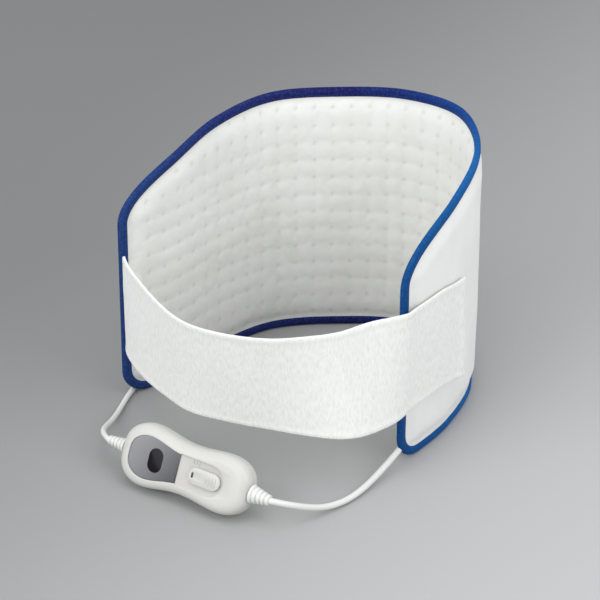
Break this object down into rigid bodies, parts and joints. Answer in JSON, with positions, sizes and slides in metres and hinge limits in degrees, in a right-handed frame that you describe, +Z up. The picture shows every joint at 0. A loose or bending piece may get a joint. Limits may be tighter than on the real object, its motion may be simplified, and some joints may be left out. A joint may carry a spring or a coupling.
{
  "type": "heating pad with controller",
  "caption": "Quilted heating pad worn as a belt, with a blue bound edge, a wide closing strap, and an in-line controller with a dark oval display and a ribbed slide switch.",
  "frame": {"origin": "on the table, under the middle of the closed belt with its controller", "axes": "+Z up; +X to the right and -Y to the front, where the strap closes and the controller lies"},
  "size_m": [0.3575, 0.4222, 0.27],
  "materials": {
    "quilt_fabric": "quilted brushed fabric",
    "outer_fabric": "brushed fabric",
    "strap_fabric": "crinkled elastic fabric",
    "felt": "needle felt",
    "wadding": "polyester wadding",
    "binding_tape": "woven tape",
    "hook_tape": "hook tape",
    "wire_silicone": "matt silicone",
    "case_plastic": "satin",
    "panel_plastic": "satin",
    "window_plastic": "gloss",
    "board": "solder mask",
    "component": "moulded",
    "capacitor": "moulded",
    "terminal": "moulded",
    "glass": "clear",
    "steel": "plated",
    "lead_sheath": "smooth soft PVC",
    "core_brown": "PVC",
    "core_blue": "PVC"
  },
  "bodies": {
    "belt": {"inner_cover": "quilt_fabric", "outer_cover": "outer_fabric", "edge_binding": "binding_tape", "felt_carrier": "felt", "wadding": "wadding", "heating_wire": "wire_silicone", "lead_splice": "component", "thermal_cutout_1": "steel", "thermal_cutout_2": "steel", "strap_seam_tab": "strap_fabric", "controller_top_shell": "case_plastic", "controller_bottom_shell": "case_plastic", "case_screw_1": "steel", "case_screw_2": "steel", "case_screw_3": "steel", "case_screw_4": "steel", "display_panel": "panel_plastic", "display_window": "window_plastic", "slide_switch_body": "component", "detent_spring": "steel", "circuit_board": "board", "led_display": "component", "triac": "component", "film_capacitor": "capacitor", "mains_terminal": "terminal", "pad_terminal": "terminal", "fuse": "glass", "mains_boot": "lead_sheath", "pad_boot": "lead_sheath", "mains_core_brown": "core_brown", "mains_core_blue": "core_blue", "pad_core_brown": "core_brown", "pad_core_blue": "core_blue", "pad_lead": "lead_sheath", "mains_lead": "lead_sheath", "mains_coil": "lead_sheath", "coil_tie": "binding_tape", "plug_tail": "lead_sheath", "plug_boot": "lead_sheath", "plug_body": "lead_sheath", "plug_pin_1": "steel", "plug_pin_2": "steel"},
    "strap": {"closure_strap": "strap_fabric", "strap_hook_patch": "hook_tape"},
    "slider": {"slide_knob": "case_plastic", "switch_carriage": "component"}
  },
  "joints": [
    {"name": "slide_switch", "type": "slide", "parent": "belt", "child": "slider", "axis": [0.8462, -0.5329, 0], "range_m": [-0.012, 0]},
    {"name": "strap_seam", "type": "hinge", "parent": "belt", "child": "strap", "pos_m": [-0.15278, 0.03908, 0.119], "axis": [0, 0, -1], "range_deg": [0, 34]}
  ]
}
